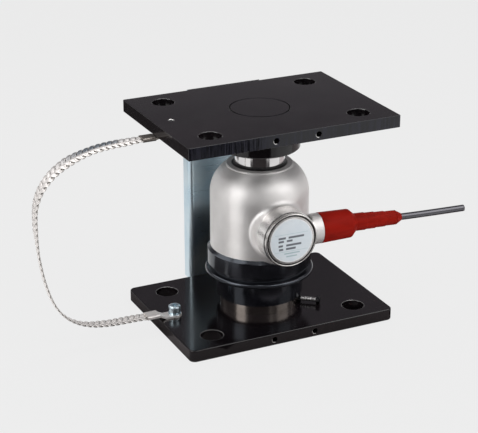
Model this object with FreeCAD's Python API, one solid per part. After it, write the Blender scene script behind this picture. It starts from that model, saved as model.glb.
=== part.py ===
import FreeCAD, Part
import os
from math import atan2, cos, degrees, pi, radians, sin, sqrt, tan

# Weighing module for a truck scale: a canister load cell standing in two cups between two steel plates.
# Millimetres and degrees. The origin lies under the middle of the base plate, +Z is up,
# the long side of the plates runs along X and the terminal cover faces the front, -Y.

Vec = FreeCAD.Vector
up = Vec(0, 0, 1)
front = Vec(0, -1, 0)
right = Vec(1, 0, 0)
origin = Vec(0, 0, 0)

# Bevel on the corners of every hexagon head
hex_bevel = 0.6

# Plates
plate_length = 180.0
plate_width = 130.0
plate_t = 10.0
base_corner_r = 5.0
base_edge_r = 1.0
top_corner_r = 0.8
top_edge_r = 0.4
bolt_pitch_x = 127.0
bolt_pitch_y = 90.0
bolt_hole_d = 18.0
bolt_hole_edge_r = 0.5
edge_hole_pitch = 36.0
edge_thread_d = 4.2
edge_thread_depth = 16.0
edge_thread_edge_r = 0.5
drill_tip_angle = 118.0

# Load cups
spigot_d = 48.0
spigot_bore_edge_r = 0.4
spigot_lead_w = 0.7
spigot_lead_l = 1.6
cup_drop = 22.0
lower_cup_d = 65.0
upper_cup_d = 65.0
cup_edge_bevel = 1.0
seat_floor = 3.0
seat_clearance = 1.5

# Measuring column, a rocker pin with spherical ends
cell_height = 150.0
column_d = 41.0
column_end_r = 160.0
column_end_bevel = 1.5
column_foot_h = 34.0
column_head_h = 40.0
waist_d = 34.0
waist_taper_h = 6.0
waist_flats = 4
waist_flat_gap = 29.0
waist_flat_h = 36.0
gauge_w = 8.0
gauge_h = 12.0
gauge_t = 0.4

# Housing, heights above the foot of the cell
cell_turn = -1.5
housing_d = 80.0
housing_wall = 4.0
shoulder_r = 28.0
shoulder_h = 92.5
rim_r = 27.0
rim_bevel = 0.6
rim_land = 1.2
rim_wall = 1.2
diaphragm_t = 1.6
diaphragm_fillet = 2.5
housing_step_h = 35.0
housing_neck_d = 74.0
housing_end_h = 28.0
closing_ring_seat_d = 66.0
closing_ring_t = 2.0

# Terminal boss and its cover
boss_d = 44.8
boss_axis_h = 72.0
cover_face = 60.0
boss_root_fillet = 5.2
boss_floor = 39.0
boss_bore_d = 37.0
board_seat_d = 30.0
wire_passage_d = 10.0
gasket_t = 0.8
gasket_inset = 0.9
cover_flange_t = 3.0
cover_inset = 0.5
cover_edge_r = 0.5
cover_rim_w = 1.1
cover_groove_w = 1.0
cover_groove_depth = 1.5
cover_seat_drop = 0.5
cover_register = 2.6
cover_space = 0.3
cover_fit = 0.15
label_d = 36.4
label_t = 0.4
board_t = 1.6
board_gap = 0.8
resistor_d = 2.4
resistor_l = 7.0
resistor_pitch = 4.5
resistor_count = 3
terminal_pin_d = 1.6
terminal_pin_l = 3.0
terminal_pin_pitch = 6.0
terminal_pin_count = 4

# Cable outlet and gland
outlet_d = 24.6
outlet_axis = 44.2
outlet_end = 32.5
outlet_turn = -2.0
outlet_edge_r = 0.7
gland_thread_d = 16.0
gland_thread_l = 12.0
gland_hex = 16.0
gland_hex_l = 4.5
gland_neck_d = 13.0
gland_neck_l = 9.0
gland_nut_gap = 0.6
gland_nut_cap = 4.0
grommet_d = 10.0
grommet_l = 7.0
cable_d = 5.5
cable_clearance = 0.4

# Strain relief sleeve over the gland
sleeve_mouth_d = 24.8
sleeve_shoulder_d = 23.3
sleeve_bore_d = 19.2
sleeve_first_l = 27.2
sleeve_shoulder_l = 4.8
sleeve_edge_r = 2.2
sleeve_edge_turn = 60.0
sleeve_tail_d = 14.3
sleeve_tail_drop = 0.85
sleeve_tail_l = 8.9
sleeve_tails = 4
sleeve_tail_lip = 0.7
sleeve_tip_l = 5.0
sleeve_tip_wall = 0.4
sleeve_neck_gap = 2.0
sleeve_blend = 1.0

# Rubber boot, heights above the foot of the cell
boot_top_h = 47.9
boot_lip_d = 84.6
boot_lip_l = 12.6
boot_lip_fall = 2.0
boot_wall = 3.0
boot_bead_wall = 1.6
boot_bead_d = 88.4
boot_bead_h = 26.8
boot_bead_r = 2.1
boot_neck_l = 2.6
boot_hem_l = 2.0
boot_hem_t = 0.5
boot_foot_gap = 2.5

# Anti-rotation screw in the lower cup
stop_angle = -37.0
stop_d = 3.5
stop_hex = 6.0
stop_head_l = 3.0
stop_nut_l = 2.8
stop_reach = 48.0
stop_engagement = 8.0
stop_clearance = 0.15

# Assembly strip, a folded channel across the back edges of the plates
strip_w = 66.0
strip_depth = 12.0
strip_sheet = 3.0
strip_bend_r = 4.0
strip_end_inset = 0.5
strip_flange_relief = 6.0
strip_hole_d = 5.5
strip_head_d = 8.0
strip_socket = 3.0
strip_socket_depth = 1.4
strip_screw_l = 12.0

# Ground strap with its lugs and screws
ground_inset = 14.5
ground_y = 1.0
ground_thread_d = 4.2
strap_w = 12.0
strap_t = 2.0
crimp_w = 10.8
crimp_t = 3.2
crimp_l = 10.5
crimp_edge_r = 1.2
lug_t = 1.6
lug_w = 10.0
lug_ring_d = 11.6
lug_hole_d = 5.3
lug_bend_l = 5.5
washer_d = 10.2
washer_t = 1.2
spring_washer_d = 9.2
spring_washer_t = 1.6
spring_washer_slit = 1.0
spring_washer_slant = 25.0
spring_washer_facing = -70.0
pan_head_d = 10.0
pan_head_l = 4.6
pan_head_edge_r = 1.6
pan_slot_w = 1.3
pan_slot_l = 5.0
pan_slot_depth = 1.6
ground_screw_grip = 8.0

# Heights that follow from the dimensions above
foot_z = plate_t + seat_floor
crown_z = foot_z + cell_height
top_plate_z = crown_z + seat_floor
top_face_z = top_plate_z + plate_t
boss_z = foot_z + boss_axis_h
column_r = column_d / 2
housing_r = housing_d / 2
boss_face = cover_face - cover_flange_t - gasket_t
board_face = boss_face - cover_register - board_gap
cable_r = cable_d / 2
cable_bore_d = cable_d + 2 * cable_clearance
stop_z = plate_t + stop_hex / 2 + stop_clearance
boot_foot_z = stop_z + stop_hex / 2 + boot_foot_gap
back_face = plate_width / 2
ground_x = -plate_length / 2 + ground_inset

# Share of the shorter run beside a corner that its arc takes up
bend_share = 0.45

# Route of the ground strap: X out from the plates' left end, Z from the top plate's underside
strap_upper_route = [
    (-10.7, -1.6), (-29.0, -1.6), (-50.6, -3.4), (-72.8, -10.4), (-89.2, -22.4), (-98.3, -39.6),
    (-99.0, -62.0),
]

# The rest of it, with Z from the base plate's upper face
strap_lower_route = [
    (-97.4, 72.0), (-93.9, 50.2), (-87.8, 30.6), (-78.2, 16.2), (-63.0, 7.1), (-45.2, 4.2), (-29.5, 3.8),
    (-10.7, 3.8),
]

# Route of the signal cable: X out from the end of the outlet, Z from its axis, before the outlet is turned
cable_route = [(-18.5, 0.0), (28.5, 0.0), (75.5, -1.9), (102.5, -2.5), (130.8, -2.8)]


def swing(cx, cz, radius, start, stop):
    """Middle and end point of an arc about (cx, cz) between two angles."""
    middle = radians((start + stop) / 2)
    end = radians(stop)
    return (
        (cx + radius * cos(middle), cz + radius * sin(middle)),
        (cx + radius * cos(end), cz + radius * sin(end)),
    )


def outline(start, *legs):
    """Face in the XZ plane: a leg is an end point, or the middle and end point of an arc."""
    edges = []
    here = Vec(start[0], 0, start[1])
    first = here
    for leg in legs:
        if isinstance(leg[0], tuple):
            there = Vec(leg[1][0], 0, leg[1][1])
            edges.append(Part.Arc(here, Vec(leg[0][0], 0, leg[0][1]), there).toShape())
        else:
            there = Vec(leg[0], 0, leg[1])
            edges.append(Part.LineSegment(here, there).toShape())
        here = there
    if here.distanceToPoint(first) > 1e-7:
        edges.append(Part.LineSegment(here, first).toShape())
    return Part.Face(Part.Wire(edges))


def turned(start, *legs):
    """Solid of revolution about Z, from its half section of radius and height."""
    return outline(start, *legs).revolve(origin, up, 360)


def aim(shape, axis, place=origin):
    """Shape made along +Z, laid along an axis and set down at a place."""
    moved = shape.copy()
    moved.Placement = FreeCAD.Placement(place, FreeCAD.Rotation(up, axis)).multiply(shape.Placement)
    return moved


def bar(diameter, length, axis, place):
    """Round bar from a place along an axis."""
    return aim(Part.makeCylinder(diameter / 2, length), axis, place)


def turn_cell(shape):
    """The cell stands in round cups, turned a little about its own axis."""
    moved = shape.copy()
    moved.rotate(origin, up, cell_turn)
    return moved


def turn_outlet(shape):
    """The cable outlet leaves the boss a little off square."""
    moved = shape.copy()
    moved.rotate(origin, up, outlet_turn)
    return moved


def hexagon(across_flats, height):
    """Hexagonal prism on the XY plane with two flats facing along Y."""
    corner = across_flats / sqrt(3)
    points = [Vec(corner * cos(k * pi / 3), corner * sin(k * pi / 3), 0) for k in range(7)]
    return Part.Face(Part.makePolygon(points)).extrude(up * height)


def hex_head(across_flats, height):
    """Hexagon with its outer corners turned off."""
    corner = across_flats / sqrt(3)
    crown = turned(
        (0, 0), (corner, 0), (corner, height - hex_bevel), (corner - 2 * hex_bevel, height), (0, height),
    )
    return hexagon(across_flats, height).common(crown)


def ring(outer_d, inner_d, height):
    return Part.makeCylinder(outer_d / 2, height).cut(Part.makeCylinder(inner_d / 2, height))


def eased_hole(diameter, edge_r, depth, through):
    """Cutter along +Z, its mouth eased by two bevels and, where it goes through, its far end too."""
    r = diameter / 2
    wide = r + edge_r
    low = depth - edge_r
    mouth = [(0, -edge_r), (wide, -edge_r), (wide, 0), *swing(wide, edge_r, edge_r, 270, 180)]
    tail = [(r, low), *swing(wide, low, edge_r, 180, 90), (wide, depth + edge_r), (0, depth + edge_r)]
    tip = [(r, depth), (0, depth + r / tan(radians(drill_tip_angle / 2)))]
    return turned(mouth[0], *mouth[1:], *(tail if through else tip))


def plate(z, corner_r, edge_r):
    """Steel plate with four bolt holes, a bore for the cup's spigot and tapped holes in two edges."""
    slab = Part.makeBox(plate_length, plate_width, plate_t, Vec(-plate_length / 2, -plate_width / 2, z))
    uprights = [edge for edge in slab.Edges if edge.tangentAt(edge.FirstParameter).cross(up).Length < 0.5]
    slab = slab.makeFillet(corner_r, uprights)
    levels = (z, z + plate_t)
    rims = [edge for edge in slab.Edges if min(abs(edge.BoundBox.ZMin - h) for h in levels) < 1e-6
            and edge.BoundBox.ZLength < 1e-6]
    slab = slab.makeFillet(edge_r, rims)
    cutters = [aim(eased_hole(spigot_d, spigot_bore_edge_r, plate_t, True), up, Vec(0, 0, z))]
    for side_x in (-1, 1):
        for side_y in (-1, 1):
            spot = Vec(side_x * bolt_pitch_x / 2, side_y * bolt_pitch_y / 2, z)
            cutters.append(aim(eased_hole(bolt_hole_d, bolt_hole_edge_r, plate_t, True), up, spot))
            spot = Vec(side_x * edge_hole_pitch / 2, side_y * plate_width / 2, z + plate_t / 2)
            thread = eased_hole(edge_thread_d, edge_thread_edge_r, edge_thread_depth, False)
            cutters.append(aim(thread, Vec(0, -side_y, 0), spot))
    ground = eased_hole(ground_thread_d, edge_thread_edge_r, plate_t, True)
    cutters.append(aim(ground, up, Vec(ground_x, ground_y, z)))
    return slab.cut(cutters)


def load_cup(outer_d):
    """Hardened cup: a spigot for the plate, a wide boss and a recess for the column's end."""
    r = outer_d / 2
    rim_z = plate_t + cup_drop
    spigot_r = spigot_d / 2
    recess_r = column_r + seat_clearance
    return turned(
        (0, 0), (spigot_r - spigot_lead_w, 0), (spigot_r, spigot_lead_l), (spigot_r, plate_t), (r, plate_t),
        (r, rim_z - cup_edge_bevel), (r - cup_edge_bevel, rim_z), (recess_r + cup_edge_bevel, rim_z),
        (recess_r, rim_z - cup_edge_bevel), (recess_r, foot_z), (0, foot_z),
    )


def lower_load_cup():
    thread = Part.makeCylinder(stop_d / 2, stop_engagement)
    return load_cup(lower_cup_d).cut(along_stop(thread, lower_cup_d / 2 - stop_engagement))


def upper_load_cup():
    cup = load_cup(upper_cup_d)
    cup.rotate(origin, right, 180)
    cup.translate(Vec(0, 0, top_face_z))
    return cup


def along_stop(shape, radius):
    """Shape made along +Z, laid along the level stop screw at a radius, its hexagons with two flats level."""
    laid = shape.copy()
    laid.rotate(origin, up, 90)
    laid.rotate(origin, Vec(0, 1, 0), 90)
    laid.translate(Vec(radius, 0, stop_z))
    laid.rotate(origin, up, stop_angle)
    return laid


def anti_rotation_screw():
    start = lower_cup_d / 2 - stop_engagement
    length = stop_reach - start
    head = aim(hex_head(stop_hex, stop_head_l), up, Vec(0, 0, length))
    screw = Part.makeCylinder(stop_d / 2, length).fuse(head).removeSplitter()
    return along_stop(screw, start)


def anti_rotation_nut():
    nut = hex_head(stop_hex, stop_nut_l).cut(Part.makeCylinder(stop_d / 2, stop_nut_l))
    return along_stop(nut, lower_cup_d / 2)


def measuring_column():
    """Turned pin: spherical foot and head, and a waist with four flats for the gauges."""
    end_r = column_r - column_end_bevel
    dome = column_end_r - sqrt(column_end_r ** 2 - end_r ** 2)
    half_dome = column_end_r - sqrt(column_end_r ** 2 - (end_r / 2) ** 2)
    waist_r = waist_d / 2
    low = foot_z + column_foot_h
    high = crown_z - column_head_h
    pin = turned(
        (0, foot_z), ((end_r / 2, foot_z + half_dome), (end_r, foot_z + dome)),
        (column_r, foot_z + dome + column_end_bevel), (column_r, low), (waist_r, low + waist_taper_h),
        (waist_r, high - waist_taper_h), (column_r, high), (column_r, crown_z - dome - column_end_bevel),
        (end_r, crown_z - dome), ((end_r / 2, crown_z - half_dome), (0, crown_z)),
    )
    middle = (low + high) / 2
    flat = Part.makeBox(column_r, column_d, waist_flat_h,
                        Vec(waist_flat_gap / 2, -column_r, middle - waist_flat_h / 2))
    for k in range(waist_flats):
        cutter = flat.copy()
        cutter.rotate(origin, up, k * 360 / waist_flats)
        pin = pin.cut(cutter)
    return pin


def strain_gauges():
    """One foil gauge on each flat of the waist."""
    low = foot_z + (column_foot_h + cell_height - column_head_h - gauge_h) / 2
    chip = Part.makeBox(gauge_t, gauge_w, gauge_h, Vec(waist_flat_gap / 2, -gauge_w / 2, low))
    gauges = []
    for k in range(waist_flats):
        gauge = chip.copy()
        gauge.rotate(origin, up, k * 360 / waist_flats)
        gauges.append(gauge)
    return Part.makeCompound(gauges)


def rim_z():
    """Height at which the round shoulder of the housing reaches its rim."""
    centre_r = housing_r - shoulder_r
    return foot_z + shoulder_h + sqrt(shoulder_r ** 2 - (rim_r - centre_r) ** 2)


def shoulder_arc(radius, reach):
    """Arc of the shoulder from the upright wall in to a radius, about the shoulder's own centre."""
    centre_r = housing_r - shoulder_r
    stop = degrees(atan2(sqrt(radius ** 2 - (reach - centre_r) ** 2), reach - centre_r))
    return swing(centre_r, foot_z + shoulder_h, radius, 0, stop)


def housing():
    """Cast canister: round shoulder, stepped foot, terminal boss in front and cable outlet beside it."""
    top = rim_z() + rim_land
    step = foot_z + housing_step_h
    end = foot_z + housing_end_h
    neck_r = housing_neck_d / 2
    can = turned(
        (0, end), (neck_r, end), (neck_r, step), (housing_r, step), (housing_r, foot_z + shoulder_h),
        shoulder_arc(shoulder_r, rim_r), (rim_r, top - rim_bevel), (rim_r - rim_bevel, top), (0, top),
    )
    can = can.fuse(bar(boss_d, boss_face, front, Vec(0, 0, boss_z)))
    root = [edge for edge in can.Edges if is_boss_root(edge)]
    can = can.makeFillet(boss_root_fillet, root)
    outlet_r = outlet_d / 2
    outlet = turned(
        (0, 0), (outlet_r, 0), (outlet_r, outlet_end - outlet_edge_r),
        swing(outlet_r - outlet_edge_r, outlet_end - outlet_edge_r, outlet_edge_r, 0, 90), (0, outlet_end),
    )
    can = can.fuse(turn_outlet(aim(outlet, right, Vec(0, -outlet_axis, boss_z))))
    wall_r = housing_r - housing_wall
    mouth_r = rim_r - rim_wall
    hollow = turned(
        (0, end), (closing_ring_seat_d / 2, end), (closing_ring_seat_d / 2, step),
        (wall_r, step + housing_wall), (wall_r, foot_z + shoulder_h),
        shoulder_arc(shoulder_r - housing_wall, mouth_r), (mouth_r, top), (0, top),
    )
    thread_end = outlet_end - gland_thread_l
    cuts = [
        hollow,
        bar(boss_d + 2 * cover_space, boss_d, front, Vec(0, -boss_face, boss_z)),
        bar(boss_bore_d, boss_face - board_face + board_t, front, Vec(0, board_t - board_face, boss_z)),
        bar(board_seat_d, boss_face - boss_floor, front, Vec(0, -boss_floor, boss_z)),
        bar(wire_passage_d, boss_floor, front, Vec(0, 0, boss_z)),
        turn_outlet(bar(gland_thread_d, gland_thread_l, right, Vec(thread_end, -outlet_axis, boss_z))),
        turn_outlet(bar(cable_bore_d, thread_end, right, Vec(0, -outlet_axis, boss_z))),
    ]
    return turn_cell(can.cut(cuts))


def is_boss_root(edge):
    """Edges where the terminal boss leaves the canister's side."""
    middle = edge.valueAt((edge.FirstParameter + edge.LastParameter) / 2)
    off_axis = sqrt(middle.x ** 2 + (middle.z - boss_z) ** 2)
    return abs(off_axis - boss_d / 2) < 1e-3 and -housing_r - 1e-3 < middle.y < 0


def top_diaphragm():
    """Thin welded ring between the housing's rim and the column, with a fillet up the column."""
    top = rim_z() + rim_land
    outer = rim_r - rim_wall
    r = diaphragm_fillet
    return turn_cell(turned(
        (column_r, top - diaphragm_t), (outer, top - diaphragm_t), (outer, top), (column_r + r, top),
        swing(column_r + r, top + r, r, 270, 180),
    ))


def closing_ring():
    low = foot_z + housing_end_h
    lid = ring(closing_ring_seat_d, column_d, closing_ring_t)
    lid.translate(Vec(0, 0, low))
    return turn_cell(lid)


def on_boss(shape, distance=0.0):
    """Shape made along +Z, laid on the face of the terminal boss, looking out of it."""
    return turn_cell(aim(shape, front, Vec(0, -boss_face - distance, boss_z)))


def cover_gasket():
    return on_boss(ring(boss_d - 2 * gasket_inset, boss_bore_d, gasket_t))


def terminal_cover():
    """Turned cover: register, flange with a narrow rounded rim, a groove and a seat for the rating plate."""
    r = boss_d / 2 - cover_inset
    register_r = boss_bore_d / 2 - cover_fit
    face = gasket_t + cover_flange_t
    edge_r = cover_edge_r
    inner_r = r - cover_rim_w
    seat_r = inner_r - cover_groove_w
    groove = face - cover_groove_depth
    seat = face - cover_seat_drop
    return on_boss(turned(
        (0, -cover_register), (register_r, -cover_register), (register_r, gasket_t), (r, gasket_t),
        (r, face - edge_r), swing(r - edge_r, face - edge_r, edge_r, 0, 90), (inner_r + edge_r, face),
        swing(inner_r + edge_r, face - edge_r, edge_r, 90, 180), (inner_r, groove), (seat_r, groove),
        (seat_r, seat), (0, seat),
    ))


def rating_label():
    seat = gasket_t + cover_flange_t - cover_seat_drop
    return on_boss(Part.makeCylinder(label_d / 2, label_t), seat)


def terminal_board():
    """Round board with a hole for each terminal pin, resting on the step of the boss."""
    board = Part.makeCylinder(boss_bore_d / 2 - cover_fit, board_t)
    for spot in pin_spots():
        board = board.cut(bar(terminal_pin_d, board_t, up, spot))
    return on_boss(board, board_face - boss_face - board_t)


def pin_spots():
    """Terminal pins in a row across the board."""
    middle = (terminal_pin_count - 1) / 2
    return [Vec((k - middle) * terminal_pin_pitch, -terminal_pin_pitch, 0) for k in range(terminal_pin_count)]


def terminal_pins():
    pins = [bar(terminal_pin_d, terminal_pin_l, up, spot) for spot in pin_spots()]
    low = board_face - boss_face - terminal_pin_l
    return Part.makeCompound([on_boss(pin, low) for pin in pins])


def trim_resistors():
    """Trimming resistors lying on the inner side of the board."""
    low = board_face - boss_face - board_t - resistor_d / 2
    bodies = []
    for k in range(resistor_count):
        start = Vec(-resistor_l / 2, k * resistor_pitch, 0)
        bodies.append(on_boss(bar(resistor_d, resistor_l, right, start), low))
    return Part.makeCompound(bodies)


def on_outlet(shape, distance=0.0):
    """Shape made along +Z, laid on the end face of the cable outlet, looking out of it."""
    return turn_cell(turn_outlet(aim(shape, right, Vec(outlet_end + distance, -outlet_axis, boss_z))))


def gland_body():
    """Threaded stub, hexagon and neck, bored for the cable and counterbored for its grommet."""
    stub = bar(gland_thread_d, gland_thread_l, up, Vec(0, 0, -gland_thread_l))
    neck = bar(gland_neck_d, gland_neck_l, up, Vec(0, 0, gland_hex_l))
    body = stub.fuse([hexagon(gland_hex, gland_hex_l), neck]).removeSplitter()
    end = gland_hex_l + gland_neck_l
    bore = bar(cable_bore_d, gland_thread_l + end, up, Vec(0, 0, -gland_thread_l))
    seat = bar(grommet_d, grommet_l, up, Vec(0, 0, end - grommet_l))
    return on_outlet(body.cut([bore, seat]))


def gland_grommet():
    plug = Part.makeCylinder(grommet_d / 2, grommet_l)
    return on_outlet(plug, gland_hex_l + gland_neck_l - grommet_l).cut(signal_cable())


def gland_nut():
    """Cap nut over the neck, with a rounded crown."""
    inner_l = gland_neck_l - gland_nut_gap
    corner = gland_hex / sqrt(3)
    prism = hexagon(gland_hex, inner_l + gland_nut_cap)
    crown = turned(
        (0, 0), (corner, 0), (corner, inner_l), swing(corner - gland_nut_cap, inner_l, gland_nut_cap, 0, 90),
        (0, inner_l + gland_nut_cap),
    )
    nut = prism.common(crown)
    hollow = Part.makeCylinder(gland_neck_d / 2, inner_l)
    bore = Part.makeCylinder(cable_bore_d / 2, inner_l + gland_nut_cap)
    return on_outlet(nut.cut([hollow, bore]), gland_hex_l + gland_nut_gap)


def strain_relief_sleeve():
    """Moulded sleeve: a wide end over the gland and a stepped tail that droops with the cable."""
    mouth_r = sleeve_mouth_d / 2
    wide_r = sleeve_shoulder_d / 2
    first = sleeve_first_l
    shoulder_end = first + sleeve_shoulder_l
    tail_r = sleeve_tail_d / 2
    wide = turned(
        (0, 0), (mouth_r, 0), (wide_r, first - sleeve_edge_r),
        swing(wide_r - sleeve_edge_r, first - sleeve_edge_r, sleeve_edge_r, 0, sleeve_edge_turn),
        (tail_r - sleeve_blend, shoulder_end), (0, shoulder_end),
    )
    inner_r = sleeve_bore_d / 2
    neck_r = cable_r + sleeve_neck_gap
    hollow = turned((0, 0), (inner_r, 0), (inner_r, first - sleeve_edge_r), (neck_r, first), (0, first))
    legs = []
    for k in range(sleeve_tails):
        r = tail_r - k * sleeve_tail_drop / 2
        start = k * sleeve_tail_l
        legs += [(r, start)] if k else []
        legs += [(r, start + sleeve_tail_l - 2 * sleeve_tail_lip),
                 (r - sleeve_tail_lip / 2, start + sleeve_tail_l - sleeve_tail_lip)]
    tip = sleeve_tails * sleeve_tail_l + sleeve_tip_l
    legs += [(tail_r - (sleeve_tails - 1) * sleeve_tail_drop / 2, sleeve_tails * sleeve_tail_l),
             (cable_r + sleeve_tip_wall, tip), (0, tip)]
    root = -sleeve_shoulder_l / 2
    tail = turned((0, root), (tail_r, root), *legs)
    (x0, z0), (x1, z1) = cable_route[1:3]
    tail.rotate(origin, Vec(0, 1, 0), degrees(atan2(z0 - z1, x1 - x0)))
    tail.translate(Vec(0, 0, shoulder_end))
    sleeve = wide.fuse(tail).removeSplitter().cut(hollow)
    return on_outlet(sleeve).cut(signal_cable())


def bend_points(points):
    """Tangent points, middles and radii of the arcs that round a route's corners."""
    bends = []
    for before, corner, after in zip(points, points[1:], points[2:]):
        back = before.sub(corner)
        ahead = after.sub(corner)
        shorter = min(back.Length, ahead.Length)
        half_turn = (pi - back.getAngle(ahead)) / 2
        reach = bend_share * shorter
        radius = reach / tan(half_turn)
        back.normalize()
        ahead.normalize()
        inward = back.add(ahead)
        inward.normalize()
        middle = corner.add(inward * (radius / cos(half_turn) - radius))
        bends.append((corner.add(back * reach), middle, corner.add(ahead * reach), radius))
    return bends


def route_wire(points):
    """Straight runs joined by tangent arcs."""
    edges = []
    here = points[0]
    for enter, middle, leave, _ in bend_points(points):
        edges.append(Part.LineSegment(here, enter).toShape())
        edges.append(Part.Arc(enter, middle, leave).toShape())
        here = leave
    edges.append(Part.LineSegment(here, points[-1]).toShape())
    return Part.Wire(edges)


def report_cord(name, points, solid, section):
    """Print a cord's bend radii and compare its volume with its section times its length."""
    radii = [round(bend[3], 1) for bend in bend_points(points)]
    length = route_wire(points).Length
    print(name, "length", round(length, 1), "radii", radii)
    print(name, "volume", round(solid.Volume, 2), "section times length", round(section * length, 2))


def cable_points():
    """The cable's route, out through the middle of the outlet."""
    return [Vec(outlet_end + x, -outlet_axis, boss_z + z) for x, z in cable_route]


def signal_cable():
    """Round cable along its route, from inside the terminal boss to its cut end."""
    points = cable_points()
    end_face = Part.Face(Part.Wire(Part.makeCircle(cable_r, points[0], right)))
    tube = Part.Wire(route_wire(points)).makePipeShell([end_face.OuterWire], True, False)
    return turn_cell(turn_outlet(tube))


def strap_points():
    """The strap's route, hung between the plates at their left end."""
    end = -plate_length / 2
    upper = [Vec(end + x, ground_y, top_plate_z + z) for x, z in strap_upper_route]
    lower = [Vec(end + x, ground_y, plate_t + z) for x, z in strap_lower_route]
    return upper + lower


def ground_strap():
    """Flat braid: a rectangle carried along its route."""
    points = strap_points()
    start = points[0]
    section = Part.makePolygon([
        Vec(start.x, ground_y + side_y * strap_w / 2, start.z + side_z * strap_t / 2)
        for side_y, side_z in ((-1, -1), (1, -1), (1, 1), (-1, 1), (-1, -1))
    ])
    return route_wire(points).makePipeShell([section], True, False)


def strap_lug(strap_end, plate_face, outward):
    """Crimp sleeve and ring tongue: the tongue lies on a plate face, the sleeve takes the strap's end."""
    x = strap_end.x
    z = strap_end.z
    crimp = Part.makeBox(crimp_l, crimp_w, crimp_t, Vec(x, ground_y - crimp_w / 2, z - crimp_t / 2))
    long_edges = [edge for edge in crimp.Edges if edge.BoundBox.XLength > crimp_l / 2]
    crimp = crimp.makeFillet(crimp_edge_r, long_edges)
    outer = plate_face + outward * lug_t
    low = min(plate_face, outer)
    high = max(plate_face, outer)
    crimp_end = x + crimp_l
    tongue = outline(
        (crimp_end - lug_t, z - lug_t / 2), (crimp_end, z - lug_t / 2), (crimp_end + lug_bend_l, low),
        (ground_x, low), (ground_x, high), (crimp_end + lug_bend_l, high), (crimp_end, z + lug_t / 2),
        (crimp_end - lug_t, z + lug_t / 2),
    ).extrude(Vec(0, lug_w, 0))
    tongue.translate(Vec(0, ground_y - lug_w / 2, 0))
    eye = bar(lug_ring_d, lug_t, up, Vec(ground_x, ground_y, low))
    hole = bar(lug_hole_d, lug_t, up, Vec(ground_x, ground_y, low))
    return crimp.fuse([tongue, eye]).removeSplitter().cut(hole)


def at_ground(shape, distance=0.0):
    """The same stack of pieces twice: on the base plate's upper face and under the top plate."""
    lower = aim(shape, up, Vec(ground_x, ground_y, plate_t + lug_t + distance))
    upper = shape.copy()
    upper.rotate(origin, right, 180)
    upper.translate(Vec(ground_x, ground_y, top_plate_z - lug_t - distance))
    return Part.makeCompound([lower, upper])


def ground_flat_washers():
    return at_ground(ring(washer_d, lug_hole_d, washer_t))


def ground_spring_washers():
    """Split ring with a slanting gap."""
    washer = ring(spring_washer_d, lug_hole_d, spring_washer_t)
    slit = Part.makeBox(spring_washer_d, spring_washer_slit, 4 * spring_washer_t,
                        Vec(0, -spring_washer_slit / 2, -spring_washer_t))
    slit.rotate(origin, right, spring_washer_slant)
    slit.rotate(origin, up, spring_washer_facing)
    return at_ground(washer.cut(slit), washer_t)


def ground_screws():
    """Pan head screws with a cross recess."""
    r = pan_head_d / 2
    bearing = washer_t + spring_washer_t
    head = turned((0, bearing), (r, bearing), (r, bearing + pan_head_l - pan_head_edge_r),
                  swing(r - pan_head_edge_r, bearing + pan_head_l - pan_head_edge_r, pan_head_edge_r, 0, 90),
                  (0, bearing + pan_head_l))
    tip = -lug_t - ground_screw_grip
    shank = bar(ground_thread_d, bearing - tip, up, Vec(0, 0, tip))
    cross = Part.makeBox(pan_slot_l, pan_slot_w, pan_slot_depth,
                         Vec(-pan_slot_l / 2, -pan_slot_w / 2, bearing + pan_head_l - pan_slot_depth))
    across = cross.copy()
    across.rotate(origin, up, 90)
    return at_ground(head.fuse(shank).removeSplitter().cut([cross, across]))


def assembly_strip():
    """Folded channel: a web against the plates' back edges and two flanges pointing away from them."""
    half = strip_w / 2
    depth = strip_depth
    sheet = strip_sheet
    outer_r = strip_bend_r
    inner_r = strip_bend_r - strip_sheet
    section = outline(
        (-half + outer_r, 0), (half - outer_r, 0), swing(half - outer_r, outer_r, outer_r, -90, 0),
        (half, depth), (half - sheet, depth), (half - sheet, outer_r),
        swing(half - outer_r, outer_r, inner_r, 0, -90),
        (-half + outer_r, sheet), swing(-half + outer_r, outer_r, inner_r, -90, -180), (-half + sheet, depth),
        (-half, depth), (-half, outer_r), swing(-half + outer_r, outer_r, outer_r, 180, 270),
    )
    height = top_face_z - 2 * strip_end_inset
    section.rotate(origin, right, -90)
    channel = section.extrude(up * height)
    channel.translate(Vec(0, back_face, strip_end_inset))
    reliefs = []
    for low in (strip_end_inset, top_face_z - strip_end_inset - strip_flange_relief):
        reliefs.append(Part.makeBox(strip_w, strip_depth, strip_flange_relief,
                                    Vec(-half, back_face + strip_sheet, low)))
    sink = countersunk(strip_hole_d / 2).fuse(Part.makeCylinder(strip_hole_d / 2, strip_sheet))
    holes = [aim(sink, -front, spot) for spot in strip_spots()]
    return channel.cut(reliefs + holes)


def countersunk(neck_r):
    """Cone of a countersunk head, its face level with the strip's outer side, down to a neck."""
    r = strip_head_d / 2
    return turned((0, strip_sheet), (r, strip_sheet), (neck_r, strip_sheet - r + neck_r),
                  (0, strip_sheet - r + neck_r))


def strip_spots():
    """Screw places on the back edges of both plates."""
    levels = (plate_t / 2, top_plate_z + plate_t / 2)
    return [Vec(side * edge_hole_pitch / 2, back_face, z) for z in levels for side in (-1, 1)]


def strip_screws():
    """Countersunk screws through the strip into the tapped edge holes."""
    shank = bar(edge_thread_d, strip_screw_l, up, Vec(0, 0, strip_sheet - strip_screw_l))
    socket = aim(hexagon(strip_socket, strip_socket_depth), up, Vec(0, 0, strip_sheet - strip_socket_depth))
    screw = shank.fuse(countersunk(edge_thread_d / 2)).removeSplitter().cut(socket)
    return Part.makeCompound([aim(screw, -front, spot) for spot in strip_spots()])


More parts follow.
